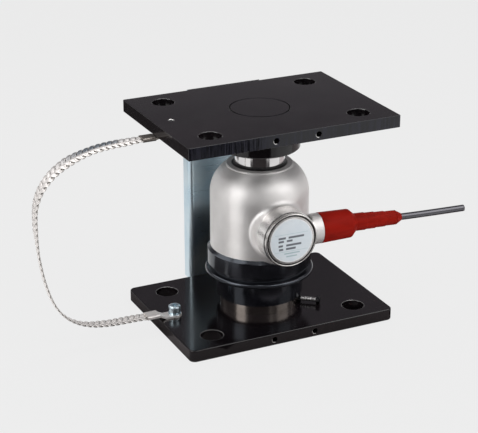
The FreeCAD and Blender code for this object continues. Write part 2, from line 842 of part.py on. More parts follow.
def rubber_boot():
    """Moulded boot: a lip relieved under the boss, a neck, a rolling bead and a sleeve on the lower cup."""
    lip_r = boot_lip_d / 2
    neck_r = housing_neck_d / 2
    cup_r = lower_cup_d / 2
    top = foot_z + boot_top_h
    step = foot_z + housing_step_h
    bead_z = foot_z + boot_bead_h
    bead_out = boot_bead_d / 2
    bead_r = boot_bead_r
    bead_c = bead_out - bead_r
    neck_out = neck_r + boot_wall
    sleeve_out = cup_r + boot_wall
    hem = boot_foot_z + boot_hem_l
    pocket_r = bead_r - boot_bead_wall
    boot = turned(
        (housing_r, step), (housing_r, top), (lip_r - boot_hem_t, top - boot_lip_fall),
        (lip_r, top - boot_lip_fall - boot_hem_t), (lip_r, top - boot_lip_fall - boot_lip_l),
        (neck_out, step - boot_wall), (neck_out, step - boot_wall - boot_neck_l), (bead_c, bead_z + bead_r),
        swing(bead_c, bead_z, bead_r, 90, -90), (sleeve_out, bead_z - bead_r), (sleeve_out, hem),
        (sleeve_out - boot_hem_t, hem), (sleeve_out - boot_hem_t, boot_foot_z), (cup_r, boot_foot_z),
        (cup_r, bead_z - pocket_r), (bead_c, bead_z - pocket_r), swing(bead_c, bead_z, pocket_r, -90, 90),
        (neck_r, bead_z + pocket_r), (neck_r, step),
    )
    relief = bar(boss_d + 2 * boss_root_fillet, cover_face, front, Vec(0, 0, boss_z))
    return boot.cut(turn_cell(relief))


makers = {
    "base_plate": lambda: plate(0.0, base_corner_r, base_edge_r),
    "top_plate": lambda: plate(top_plate_z, top_corner_r, top_edge_r),
    "lower_load_cup": lower_load_cup,
    "upper_load_cup": upper_load_cup,
    "anti_rotation_screw": anti_rotation_screw,
    "anti_rotation_nut": anti_rotation_nut,
    "measuring_column": measuring_column,
    "strain_gauges": strain_gauges,
    "housing": housing,
    "top_diaphragm": top_diaphragm,
    "closing_ring": closing_ring,
    "rubber_boot": rubber_boot,
    "cover_gasket": cover_gasket,
    "terminal_cover": terminal_cover,
    "rating_label": rating_label,
    "terminal_board": terminal_board,
    "terminal_pins": terminal_pins,
    "trim_resistors": trim_resistors,
    "gland_body": gland_body,
    "gland_grommet": gland_grommet,
    "gland_nut": gland_nut,
    "strain_relief_sleeve": strain_relief_sleeve,
    "signal_cable": signal_cable,
    "assembly_strip": assembly_strip,
    "strip_screws": strip_screws,
    "ground_strap": ground_strap,
    "strap_lug_upper": lambda: strap_lug(strap_points()[0], top_plate_z, -1),
    "strap_lug_lower": lambda: strap_lug(strap_points()[-1], plate_t, 1),
    "ground_flat_washers": ground_flat_washers,
    "ground_spring_washers": ground_spring_washers,
    "ground_screws": ground_screws,
}

os.makedirs("parts", exist_ok=True)
shapes = {name: make() for name, make in makers.items()}
for name, shape in shapes.items():
    shape.exportStep("parts/" + name + ".step")

report_cord("signal_cable", cable_points(), shapes["signal_cable"], pi * cable_r ** 2)
report_cord("ground_strap", strap_points(), shapes["ground_strap"], strap_w * strap_t)
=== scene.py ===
import math

import bmesh
import bpy
import numpy as np
from mathutils import Matrix, Vector


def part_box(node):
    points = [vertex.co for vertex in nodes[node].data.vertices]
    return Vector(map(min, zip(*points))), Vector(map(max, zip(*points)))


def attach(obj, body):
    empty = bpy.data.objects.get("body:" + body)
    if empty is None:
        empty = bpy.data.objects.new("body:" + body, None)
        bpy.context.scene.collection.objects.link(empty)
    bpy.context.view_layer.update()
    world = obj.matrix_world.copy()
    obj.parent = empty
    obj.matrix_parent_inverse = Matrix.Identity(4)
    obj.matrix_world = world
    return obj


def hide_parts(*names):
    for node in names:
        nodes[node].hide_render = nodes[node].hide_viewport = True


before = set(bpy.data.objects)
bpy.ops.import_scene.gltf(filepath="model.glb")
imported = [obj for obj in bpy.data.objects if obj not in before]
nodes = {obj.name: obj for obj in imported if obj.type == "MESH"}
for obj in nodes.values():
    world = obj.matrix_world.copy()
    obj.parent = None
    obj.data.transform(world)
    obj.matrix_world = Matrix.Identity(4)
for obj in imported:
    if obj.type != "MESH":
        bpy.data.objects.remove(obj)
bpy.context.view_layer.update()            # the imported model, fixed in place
mm = 0.001
print("frame:", len(nodes), "nodes")


# Shader maths

class Wire:                  # one output of a node; arithmetic on it adds Math nodes
    def __init__(self, tree, socket=None):
        self.tree = tree
        self.socket = socket

    def node(self, kind, settings=None, sockets=None, out=0):
        made = self.tree.nodes.new(kind)
        for name, value in (settings or {}).items():
            if name == "stops":
                self.setStops(made.color_ramp, value)
            else:
                setattr(made, name, value)
        wire = Wire(self.tree, made.outputs[out] if len(made.outputs) else made.inputs[0])
        return wire.feed(sockets or {})

    def feed(self, sockets):             # values or links into this node's own sockets
        for key, value in sockets.items():
            target = self.socket.node.inputs[key]
            if isinstance(value, Wire):
                self.tree.links.new(value.socket, target)
            else:
                target.default_value = value
        return self

    def setStops(self, ramp, stops):     # stops are (position, colour)
        while len(ramp.elements) < len(stops):
            ramp.elements.new(1.0)
        for element, (position, colour) in zip(ramp.elements, stops):
            element.position = position
            element.color = colour

    def to(self, name):                  # another output of the same node
        return Wire(self.tree, self.socket.node.outputs[name])

    def math(self, operation, first, second=0.0):
        return self.node("ShaderNodeMath", {"operation": operation}, {0: first, 1: second})

    def __add__(self, other):
        return self.math("ADD", self, other)

    def __radd__(self, other):
        return self.math("ADD", other, self)

    def __sub__(self, other):
        return self.math("SUBTRACT", self, other)

    def __rsub__(self, other):
        return self.math("SUBTRACT", other, self)

    def __mul__(self, other):
        return self.math("MULTIPLY", self, other)

    def __rmul__(self, other):
        return self.math("MULTIPLY", other, self)

    def __pow__(self, power):
        return self.math("POWER", self, power)

    def __abs__(self):
        return self.math("ABSOLUTE", self)

    def step(self, low, high):           # 0 below low, 1 above high, smooth between
        return self.node("ShaderNodeMapRange", {"interpolation_type": "SMOOTHSTEP"},
                         {"Value": self, "From Min": low, "From Max": high})

    def band(self, rise, fall):          # 1 between two edges, each given as the span over which it blends
        return self.step(*rise) * (1.0 - self.step(*fall))

    def mix(self, first, second):        # first colour where this is 0, second where it is 1
        return self.node("ShaderNodeMix", {"data_type": "RGBA"}, {0: self, 6: first, 7: second}, 2)

    def noise(self, size, detail=2.0):   # on coordinates: soft spots of about that size in metres
        return self.node("ShaderNodeTexNoise", {}, {"Vector": self, "Scale": 1 / size, "Detail": detail})

    def stretched(self, x, y, z):        # coordinates scaled by axis, under 1 draws a pattern out along it
        return self.node("ShaderNodeMapping", {}, {"Vector": self, "Scale": (x, y, z)})

    def split(self):
        parts = self.node("ShaderNodeSeparateXYZ", {}, {0: self})
        return parts.to("X"), parts.to("Y"), parts.to("Z")

    def bump(self, strength, distance):
        return self.node("ShaderNodeBump", {}, {"Height": self, "Strength": strength, "Distance": distance})


def tint(red, green, blue):
    return (red, green, blue, 1.0)


def emptyFinish(name):
    made = bpy.data.materials.new(name)
    made.use_nodes = True
    made.node_tree.nodes.clear()
    return made, Wire(made.node_tree)


def newFinish(name, fixed):              # a Principled surface; fixed holds what is the same all over
    made, start = emptyFinish(name)
    shader = start.node("ShaderNodeBsdfPrincipled", {}, fixed)
    start.node("ShaderNodeOutputMaterial", {}, {"Surface": shader})
    return made, start.node("ShaderNodeTexCoord", {}, {}, "Object"), shader


def radiusOf(along, across):             # distance from the point where both are 0
    return (along * along + across * across) ** 0.5


def lathe(place):                        # distance from the cell's axis, joined with height
    x, y, z = place.split()
    return place.node("ShaderNodeCombineXYZ", {}, {0: radiusOf(x, y), 1: 0.0, 2: z})


def facing(place, spec):                 # coordinates about the axis of the terminal cover: across, along it, up
    flat = place.node("ShaderNodeMapping", {}, {"Vector": place, "Location": (0.0, 0.0, -spec["height"]),
                                                "Rotation": (0.0, 0.0, math.radians(-spec["turn"]))})
    return flat.split()


# Finishes

paint = {"colour": tint(0.0042, 0.0031, 0.0038), "dusty": tint(0.0085, 0.0063, 0.0076), "rough": 0.14, "smear": 0.1,
         "bare": tint(0.55, 0.54, 0.53), "grain": 0.7 * mm, "grainDepth": 0.02 * mm,
         "edgeHoles": (18 * mm, 5 * mm, 171 * mm), "groundHole": (-75.5 * mm, 1 * mm), "holeRadius": 2.1 * mm,
         "bevel": 0.55 * mm, "boltHoles": (63.5 * mm, 45 * mm), "boltBevel": (9.06 * mm, 9.5 * mm),
         "boltWear": (0.3, 0.06),        # on the base plate and on the top plate
         # the seam's near-black colour is painted shade for the groove round the cup's spigot
         "spigotSeam": (23.2 * mm, 24.5 * mm), "seamShade": tint(0.004, 0.004, 0.005),
         "sawn": tint(0.0022, 0.0022, 0.0045), "sawMark": tint(0.0085, 0.0085, 0.0175), "sawPitch": 1.3 * mm}


def glossBlackPaint():
    # the drill has bared the steel on the bevel of each small hole: 1 between the hole's wall and the bevel's rim,
    # on the edge holes only low on the left, and worn thin on the bevels of the bolt holes;
    # saw marks show through on the front edge of the top plate,
    # and the seam round the cup's spigot is painted shade: near-black metal standing in for the shadow in that groove
    made, place, shader = newFinish("glossBlackPaint", {"IOR": 1.5})
    smear = place.noise(18 * mm, 4.0)
    dust = place.noise(60 * mm, 3.0).step(0.45, 0.75)
    grain = place.stretched(1.0, 1.0, 0.06).noise(paint["grain"], 3.0)
    x, y, z = place.split()
    onTopPlate = z.step(100 * mm, 110 * mm)
    front = -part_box("top_plate")[0].y
    holeX, lowZ, highZ = paint["edgeHoles"]
    groundX, groundY = paint["groundHole"]
    inner = paint["holeRadius"]
    rim = inner + paint["bevel"]

    def bevelled(along, across):
        return radiusOf(along, across).band((inner - 0.02 * mm, inner + 0.02 * mm), (rim, rim + 0.06 * mm))

    along = x - x.math("SIGN", x) * holeX
    middle = z - (lowZ + highZ) / 2
    across = middle - middle.math("SIGN", middle) * ((highZ - lowZ) / 2)
    worn = (0.0 - along - across).step(1.2 * mm, 2.6 * mm)
    edgeBevel = bevelled(along, across) * worn * abs(y).step(front - 0.8 * mm, front - 0.6 * mm)
    boltX, boltY = paint["boltHoles"]
    boltInner, boltRim = paint["boltBevel"]
    fromBolt = radiusOf(abs(x) - boltX, abs(y) - boltY)
    boltBevel = fromBolt.band((boltInner, boltInner + 0.05 * mm), (boltRim, boltRim + 0.06 * mm))
    bared = edgeBevel.math("MAXIMUM", edgeBevel, bevelled(x - groundX, y - groundY))
    lowWear, highWear = paint["boltWear"]
    bared = bared.math("MAXIMUM", bared, boltBevel * (lowWear + onTopPlate * (highWear - lowWear)))
    seamInner, seamOuter = paint["spigotSeam"]
    seam = radiusOf(x, y).band((seamInner, seamInner + 0.1 * mm), (seamOuter, seamOuter + 0.1 * mm))
    sawn = (0.0 - y).step(front - 0.3 * mm, front - 0.05 * mm) * onTopPlate
    sawMarks = place.stretched(1.0, 0.0, 0.05).noise(paint["sawPitch"], 3.0)
    coat = sawn.mix(dust.mix(paint["colour"], paint["dusty"]),
                    sawMarks.step(0.42, 0.62).mix(paint["sawn"], paint["sawMark"]))
    shader.feed({"Base Color": bared.mix(seam.mix(coat, paint["seamShade"]), paint["bare"]),
                 "Metallic": bared.math("MAXIMUM", bared, seam),
                 "Roughness": (paint["rough"] + (smear - 0.5) * paint["smear"] + sawn * (sawMarks - 0.5) * 0.5
                               + bared * 0.12 + seam * 0.15),
                 "Normal": grain.bump(0.25, paint["grainDepth"])})
    return made


stainless = {"colour": tint(0.90, 0.88, 0.865), "shade": tint(0.82, 0.80, 0.785), "metallic": 0.94, "rough": 0.5,
             "spread": 0.8, "grain": 0.35 * mm, "lines": 0.25 * mm,
             "bossFrom": (39.6 * mm, 44 * mm), "outletFrom": (20 * mm, 23 * mm), "bossRough": 0.26,
             "shoulder": (100 * mm, 116 * mm), "shoulderRough": 0.26, "shoulderDull": 0.1, "shoulderShare": 0.8,
             "crown": (121 * mm, 129 * mm), "crownDull": 0.34}


def satinStainless():
    # turned marks run round the axis, so a highlight is drawn out along it on the wall and the crown;
    # the boss and most of the shoulder have an even finish without marks, mixed in as a second surface
    made, place, shader = newFinish("satinStainless", {
        "IOR": 1.5, "Anisotropic": stainless["spread"], "Anisotropic Rotation": 0.25})
    cloud = place.noise(22 * mm, 3.0)
    grain = place.noise(stainless["grain"], 2.0)
    lines = lathe(place).noise(stainless["lines"], 1.0)
    x, y, z = place.split()
    boss = (0.0 - y).step(*stainless["bossFrom"]) * (1.0 - x.step(*stainless["outletFrom"]))
    crown = z.step(*stainless["crown"])
    shoulder = z.step(*stainless["shoulder"]) * (1.0 - crown)
    metal = cloud.step(0.35, 0.7).mix(stainless["colour"], stainless["shade"])
    uneven = (grain - 0.5) * 0.12 + (cloud - 0.5) * 0.1
    blasted = (grain * 0.6 + lines * 0.4).bump(0.12, 0.02 * mm)
    shader.feed({"Base Color": metal, "Metallic": stainless["metallic"] - crown * stainless["crownDull"],
                 "Roughness": stainless["rough"] + uneven, "Normal": blasted})
    smooth = place.node("ShaderNodeBsdfPrincipled", {}, {
        "Base Color": metal, "Metallic": stainless["metallic"] - shoulder * stainless["shoulderDull"],
        "Roughness": stainless["bossRough"] + (1.0 - boss) * stainless["shoulderRough"] + uneven, "Normal": blasted})
    share = boss.math("MAXIMUM", boss, shoulder * stainless["shoulderShare"])
    surface = Wire(made.node_tree, made.node_tree.nodes["Material Output"].inputs["Surface"])
    surface.feed({"Surface": place.node("ShaderNodeMixShader", {}, {0: share, 1: shader, 2: smooth})})
    return made


# the cover groove's dark colour is painted shade
cover = {"colour": tint(0.74, 0.72, 0.70), "shade": tint(0.62, 0.60, 0.585), "grooveShade": tint(0.05, 0.045, 0.045),
         "rough": 0.24, "height": 85 * mm, "turn": -1.5, "groove": (19.75 * mm, 20.85 * mm), "lines": 0.22 * mm}


def turnedCover():
    # distance from the cover's own axis, for its turning marks and the painted shade in its groove
    made, place, shader = newFinish("turnedCover", {"Metallic": 1.0})
    u, depth, v = facing(place, cover)
    radius = radiusOf(u, v)
    marks = place.node("ShaderNodeCombineXYZ", {}, {0: radius, 1: depth, 2: 0.0}).noise(cover["lines"], 2.0)
    haze = place.noise(7 * mm, 3.0)
    low, high = cover["groove"]
    groove = radius.band((low - 0.1 * mm, low + 0.05 * mm), (high - 0.05 * mm, high + 0.1 * mm))
    metal = haze.step(0.35, 0.7).mix(cover["colour"], cover["shade"])
    shader.feed({"Base Color": groove.mix(metal, cover["grooveShade"]),
                 "Roughness": cover["rough"] + (marks - 0.5) * 0.1 + groove * 0.2,
                 "Normal": marks.bump(0.12, 0.02 * mm)})
    return made


polish = {"lines": 0.3 * mm, "bright": (tint(0.80, 0.79, 0.785), tint(0.70, 0.69, 0.69), 0.055),
          "turned": (tint(0.58, 0.51, 0.465), tint(0.42, 0.36, 0.315), 0.17),
          # the fillet's dark colour is painted shade in the crevice at the column's foot
          "weld": (tint(0.90, 0.88, 0.87), tint(0.82, 0.80, 0.79), 0.5), "creviceShade": tint(0.03, 0.029, 0.029),
          "crevice": (21.8 * mm, 23.0 * mm), "weldMetallic": 0.6}


def polishedSteel(name, colour, shade, rough):
    made, place, shader = newFinish(name, {"Metallic": 1.0})
    rings = lathe(place).noise(polish["lines"], 2.0)
    haze = place.noise(9 * mm, 3.0)
    shader.feed({"Base Color": haze.step(0.3, 0.8).mix(colour, shade),
                 "Roughness": rough + rings * 0.05 + (haze - 0.5) * 0.03,
                 "Normal": rings.bump(0.05, 0.01 * mm)})
    return made


def weldedRing(colour, shade, rough):
    # painted shade darkens the fillet in the crevice at the column's foot: 1 up to the crevice's radius
    made, place, shader = newFinish("weldedRing", {"Metallic": polish["weldMetallic"]})
    spun = lathe(place)
    haze = place.noise(9 * mm, 3.0)
    creviceShade = 1.0 - spun.split()[0].step(*polish["crevice"])
    shader.feed({"Base Color": creviceShade.mix(haze.step(0.3, 0.8).mix(colour, shade), polish["creviceShade"]),
                 "Roughness": rough + (haze - 0.5) * 0.1,
                 "Normal": spun.noise(polish["lines"], 2.0).bump(0.05, 0.01 * mm)})
    return made


rubber = {"colour": tint(0.0045, 0.0045, 0.006), "bloom": tint(0.009, 0.009, 0.012), "rough": 0.17,
          "glint": tint(0.80, 0.88, 1.0), "seamTurn": -16.0, "seam": 0.18 * mm}


def blackRubber():
    # the mould's parting line: a thin ridge where the plane through the axis cuts the skin
    made, place, shader = newFinish("blackRubber", {"IOR": 1.75, "Specular Tint": rubber["glint"]})
    bloom = place.noise(14 * mm, 4.0)
    skin = place.noise(0.5 * mm, 3.0)
    x, y = place.split()[:2]
    off = x * math.cos(math.radians(rubber["seamTurn"])) + y * math.sin(math.radians(rubber["seamTurn"]))
    ridge = 1.0 - abs(off).step(0.0, rubber["seam"])
    shader.feed({"Base Color": bloom.step(0.45, 0.8).mix(rubber["colour"], rubber["bloom"]),
                 "Roughness": rubber["rough"] + (bloom - 0.5) * 0.12,
                 "Normal": (skin * 0.15 + ridge).bump(0.4, 0.06 * mm)})
    return made


sleeveRed = {"colour": tint(0.30, 0.010, 0.0048), "deep": tint(0.215, 0.0075, 0.0038), "rough": 0.5}


def redElastomer():
    made, place, shader = newFinish("redElastomer", {"IOR": 1.13})
    flow = place.stretched(0.25, 1.0, 1.0).noise(5 * mm, 4.0)
    skin = place.noise(0.45 * mm, 3.0)
    shader.feed({"Base Color": flow.step(0.35, 0.75).mix(sleeveRed["colour"], sleeveRed["deep"]),
                 "Roughness": sleeveRed["rough"] + (flow - 0.5) * 0.18,
                 "Normal": (skin * 0.5 + flow * 0.5).bump(0.2, 0.05 * mm)})
    return made


zinc = {"colour": tint(0.67, 0.79, 0.85), "blue": tint(0.55, 0.70, 0.79), "straw": tint(0.72, 0.79, 0.79),
        "cut": tint(0.03, 0.03, 0.032), "rough": 0.30}


def zincPlate():
    # the strip's sheared ends are left dark
    made, place, shader = newFinish("zincPlate", {"Metallic": 1.0})
    rolled = place.stretched(0.03, 1.0, 1.0).noise(0.9 * mm, 4.0)
    cloud = place.noise(26 * mm, 3.0)
    hue = cloud.step(0.3, 0.6).mix(zinc["blue"], zinc["colour"])
    plated = place.noise(70 * mm, 2.0).step(0.55, 0.75).mix(hue, zinc["straw"])
    foot, top = (corner.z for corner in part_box("assembly_strip"))
    sheared = abs(place.split()[2] - (foot + top) / 2).step((top - foot) / 2 - 0.3 * mm, (top - foot) / 2 - 0.1 * mm)
    shader.feed({"Base Color": sheared.mix(plated, zinc["cut"]),
                 "Roughness": zinc["rough"] + (rolled - 0.5) * 0.12 + (cloud - 0.5) * 0.08,
                 "Normal": rolled.bump(0.12, 0.02 * mm)})
    return made


stop = {"turn": -37.0, "headFrom": 47.9 * mm, "pitch": 0.7 * mm, "black": tint(0.03, 0.03, 0.033),
        "worn": tint(0.12, 0.115, 0.11), "bright": tint(0.82, 0.81, 0.80)}


def blackenedSteel(name, threaded):
    # the thread is a sine along the screw's axis, bright up to the head and worn dull in places
    made, place, shader = newFinish(name, {"Metallic": 1.0})
    worn = place.noise(1.6 * mm, 4.0)
    x, y = place.split()[:2]
    along = x * math.cos(math.radians(stop["turn"])) + y * math.sin(math.radians(stop["turn"]))
    shank = (1.0 - along.step(stop["headFrom"] - 0.1 * mm, stop["headFrom"])) * threaded
    bright = shank * (0.3 + worn.step(0.3, 0.7) * 0.7)
    thread = along.math("SINE", along * (2 * math.pi / stop["pitch"]))
    shader.feed({"Base Color": bright.mix(worn.step(0.5, 0.75).mix(stop["black"], stop["worn"]), stop["bright"]),
                 "Roughness": 0.34 + (worn - 0.5) * 0.2 - bright * 0.1,
                 "Normal": (worn * 0.1 + thread * shank).bump(0.5, 0.12 * mm)})
    return made


# the braid's dark colour between strands is painted shade
tin = {"colour": tint(0.86, 0.82, 0.79), "dull": tint(0.70, 0.66, 0.63), "gap": tint(0.36, 0.34, 0.32),
       # the braid's blue-grey colour along its rear edge is painted shade
       "tarnishAndRearShade": tint(0.12, 0.135, 0.155), "rough": 0.36, "braidRough": 0.42, "metallic": 0.6,
       # the upper lug's darker tin colours are painted shade under the top plate
       "underPlateShade": (tint(0.30, 0.27, 0.245), tint(0.2, 0.18, 0.165), 1.0)}


def tinnedCopper(name, colour, dull, metallic):
    made, place, shader = newFinish(name, {"Metallic": metallic})
    tarnishAndRearShade = place.noise(4 * mm, 4.0)
    dents = place.noise(2.2 * mm, 2.0)
    shader.feed({"Base Color": tarnishAndRearShade.step(0.45, 0.8).mix(colour, dull),
                 "Roughness": tin["rough"] + (tarnishAndRearShade - 0.5) * 0.2,
                 "Normal": dents.bump(0.2, 0.06 * mm)})
    return made


def braidWire():
    # painted shade in the gaps between strands, where the surface lies near the strap's middle height,
    # and painted shade along the strap's rear edge over the stretch below the top plate
    made, place, shader = newFinish("braidWire", {"Metallic": tin["metallic"]})
    across = place.node("ShaderNodeAttribute", {"attribute_name": "across"}, {}, "Fac")
    height = place.node("ShaderNodeAttribute", {"attribute_name": "height"}, {}, "Fac")
    wires = across.math("SINE", across * 22.0)
    tarnishAndRearShade = place.noise(6 * mm, 4.0)
    crown = abs(height).step(0.05, 0.6)
    rear = place.node("ShaderNodeAttribute", {"attribute_name": "rear"}, {}, "Fac")
    metal = tarnishAndRearShade.step(0.5, 0.85).mix(tin["colour"], tin["dull"])
    shader.feed({"Base Color": crown.mix(tin["gap"], rear.mix(metal, tin["tarnishAndRearShade"])),
                 "Roughness": tin["braidRough"] + (tarnishAndRearShade - 0.5) * 0.15,
                 "Normal": wires.bump(0.15, 0.03 * mm)})
    return made


sheath = {"colour": tint(0.009, 0.0085, 0.0115), "scuff": tint(0.017, 0.016, 0.021), "rough": 0.13,
          "glint": tint(0.90, 0.88, 1.0), "skin": 0.13}


def greySheath():
    made, place, shader = newFinish("greySheath", {"IOR": 1.75, "Specular Tint": sheath["glint"], "Coat Weight": 0.5,
                                                    "Coat IOR": 1.8, "Coat Roughness": sheath["skin"]})
    drawn = place.stretched(0.05, 1.0, 1.0).noise(0.8 * mm, 3.0)
    scuff = place.noise(9 * mm, 4.0).step(0.5, 0.8)
    shader.feed({"Base Color": scuff.mix(sheath["colour"], sheath["scuff"]),
                 "Roughness": sheath["rough"] + (drawn - 0.5) * 0.14,
                 "Normal": drawn.bump(0.1, 0.02 * mm)})
    return made


label = {"foil": tint(0.80, 0.87, 0.92), "edge": tint(0.92, 0.94, 0.96), "mark": tint(0.10, 0.11, 0.13),
         "sheen": tint(0.85, 0.91, 0.95), "pale": tint(0.36, 0.52, 0.55), "height": 85 * mm, "turn": -1.5,
         "border": (17.2 * mm, 17.4 * mm),
         "rows": [(2.9, -11.0, -5.2), (2.9, -2.4, 10.5), (0.2, -11.0, -6.8), (0.2, -4.0, 0.6),
                  (-3.4, -11.0, -7.6), (-3.4, -4.4, 8.2), (-6.4, -10.6, -7.4), (-6.4, -4.6, 3.4)],
         "paleRows": [(-10.4, -6.0, 7.0), (-12.9, -4.2, 4.6)], "rules": [5.8, -8.6]}


def labelFoil():
    # bars in rows on a pale disc: a bar is 1 where height lies in its row and distance between its ends
    made, place, shader = newFinish("labelFoil", {"Metallic": 0.35})
    u, v = facing(place, label)[::2]

    def bars(rows, half):
        total = 0.0
        for height, left, right in rows:
            inRow = 1.0 - abs(v - height * mm).step(half * mm * 0.7, half * mm * 1.3)
            reach = (right - left) / 2
            inSpan = 1.0 - abs(u - (left + right) / 2 * mm).step(reach * mm, (reach + 0.4) * mm)
            total = inRow * inSpan + total
        return total

    rules = bars([(height, -14.0, 14.0) for height in label["rules"]], 0.18)
    sheen = place.noise(12 * mm, 3.0)
    ground = sheen.step(0.35, 0.7).mix(label["foil"], label["sheen"])
    bordered = radiusOf(u, v).step(*label["border"]).mix(ground, label["edge"])
    ruled = (rules * 0.5).mix(bordered, label["pale"])
    paler = (bars(label["paleRows"], 0.5) * 0.7).mix(ruled, label["pale"])
    shader.feed({"Base Color": (bars(label["rows"], 0.85) * 0.9).mix(paler, label["mark"]),
                 "Roughness": 0.34 + (sheen - 0.5) * 0.1})
    return made


def mottled(name, colour, shade, size, metallic, rough):   # plain finish for small pieces out of sight
    made, place, shader = newFinish(name, {"Metallic": metallic})
    spots = place.noise(size, 3.0)
    shader.feed({"Base Color": spots.step(0.35, 0.7).mix(colour, shade),
                 "Roughness": rough + (spots - 0.5) * 0.15})
    return made


finishes = {
    "plate": glossBlackPaint(),
    "stainless": satinStainless(),
    "polished": polishedSteel("polishedSteel", *polish["bright"]),
    "turned": polishedSteel("turnedSteel", *polish["turned"]),
    "weld": weldedRing(*polish["weld"]),
    "cover": turnedCover(),
    "rubber": blackRubber(),
    "red": redElastomer(),
    "zinc": zincPlate(),
    "stopScrew": blackenedSteel("stopScrewSteel", 1.0),
    "stopNut": blackenedSteel("stopNutSteel", 0.0),
    "tin": tinnedCopper("tinnedCopper", tin["colour"], tin["dull"], tin["metallic"]),
    # the upper lug gets a darker copy of the tin finish: painted shade under the top plate
    "shadedTin": tinnedCopper("shadedTin", *tin["underPlateShade"]),
    "braid": braidWire(),
    "sheath": greySheath(),
    "label": labelFoil(),
    "board": mottled("boardLaminate", tint(0.03, 0.16, 0.08), tint(0.04, 0.2, 0.1), 3 * mm, 0.0, 0.4),
    "resistor": mottled("resistorCoat", tint(0.45, 0.55, 0.6), tint(0.5, 0.6, 0.66), 1 * mm, 0.0, 0.35),
    "pin": mottled("platedPin", tint(0.85, 0.68, 0.32), tint(0.72, 0.55, 0.24), 0.8 * mm, 1.0, 0.2),
    "gauge": mottled("gaugeFoil", tint(0.5, 0.3, 0.08), tint(0.62, 0.4, 0.12), 0.8 * mm, 0.0, 0.3),
    "gland": mottled("nickelledBrass", tint(0.7, 0.68, 0.62), tint(0.62, 0.6, 0.53), 4 * mm, 1.0, 0.22),
}

dressing = {
    "plate": ["base_plate", "top_plate", "upper_load_cup"],
    "stainless": ["housing", "closing_ring"],
    "cover": ["terminal_cover"],
    "polished": ["measuring_column"],
    "weld": ["top_diaphragm"],
    "turned": ["lower_load_cup"],
    "rubber": ["rubber_boot", "cover_gasket", "gland_grommet"],
    "red": ["strain_relief_sleeve"],
    "zinc": ["assembly_strip", "strip_screws", "ground_screws", "ground_spring_washers", "ground_flat_washers"],
    "stopScrew": ["anti_rotation_screw"],
    "stopNut": ["anti_rotation_nut"],
    "tin": ["strap_lug_lower", "ground_strap"],
    "shadedTin": ["strap_lug_upper"],
    "sheath": ["signal_cable"],
    "label": ["rating_label"],
    "board": ["terminal_board"],
    "resistor": ["trim_resistors"],
    "pin": ["terminal_pins"],
    "gauge": ["strain_gauges"],
    "gland": ["gland_body", "gland_nut"],
}

for finish, names in dressing.items():
    for name in names:
        if nodes[name].material_slots:
            nodes[name].material_slots[0].material = finishes[finish]
        else:
            nodes[name].data.materials.append(finishes[finish])
print("finishes:", len(finishes))


# Surfaces

def gridPiece(name, points, finish):
    # a grid of points (rows, columns, xyz) as quads, joined round its columns and closed at both ends
    rows, columns = points.shape[:2]
    i, j = np.meshgrid(np.arange(rows - 1), np.arange(columns), indexing="ij")
    after = (j + 1) % columns
    faces = np.stack([i * columns + j, (i + 1) * columns + j, (i + 1) * columns + after, i * columns + after], -1)
    ends = np.arange(columns)[None] + np.array([[0], [(rows - 1) * columns]])
    return meshPiece(name, points.reshape(-1, 3), faces.reshape(-1, 4).tolist() + ends.tolist(), finish)


def meshPiece(name, points, faces, finish):
    data = bpy.data.meshes.new(name)
    data.from_pydata(points.tolist(), [], faces)
    work = bmesh.new()
    work.from_mesh(data)
    bmesh.ops.recalc_face_normals(work, faces=work.faces)
    work.to_mesh(data)
    work.free()
    data.polygons.foreach_set("use_smooth", [len(face) == 4 for face in faces])
    data.materials.append(finish)
    data.update()
    piece = bpy.data.objects.new(name, data)
    bpy.context.scene.collection.objects.link(piece)
    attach(piece, "root")
    return piece


def routeLine(points):
    # smooth line of a route: a NURBS spline of order 3 with the route's points as control points
    data = bpy.data.curves.new("route", "CURVE")
    data.dimensions = "3D"
    data.resolution_u = 32
    spline = data.splines.new("NURBS")
    spline.points.add(len(points) - 1)
    spline.points.foreach_set("co", np.c_[points, np.ones(len(points))].ravel())
    spline.order_u = 3
    spline.use_endpoint_u = True
    carrier = bpy.data.objects.new("route", data)
    bpy.context.scene.collection.objects.link(carrier)
    traced = bpy.data.meshes.new_from_object(carrier)
    line = np.empty(len(traced.vertices) * 3)
    traced.vertices.foreach_get("co", line)
    bpy.data.objects.remove(carrier)
    bpy.data.curves.remove(data)
    bpy.data.meshes.remove(traced)
    return line.reshape(-1, 3)


def evenSteps(line, count):
    # the same line at equal steps of its length
    along = np.r_[0, np.cumsum(np.linalg.norm(np.diff(line, axis=0), axis=1))]
    spots = np.linspace(0, along[-1], count)
    return np.stack([np.interp(spots, along, line[:, k]) for k in range(3)], 1), spots


# Ground strap: a flat plait of tinned wire

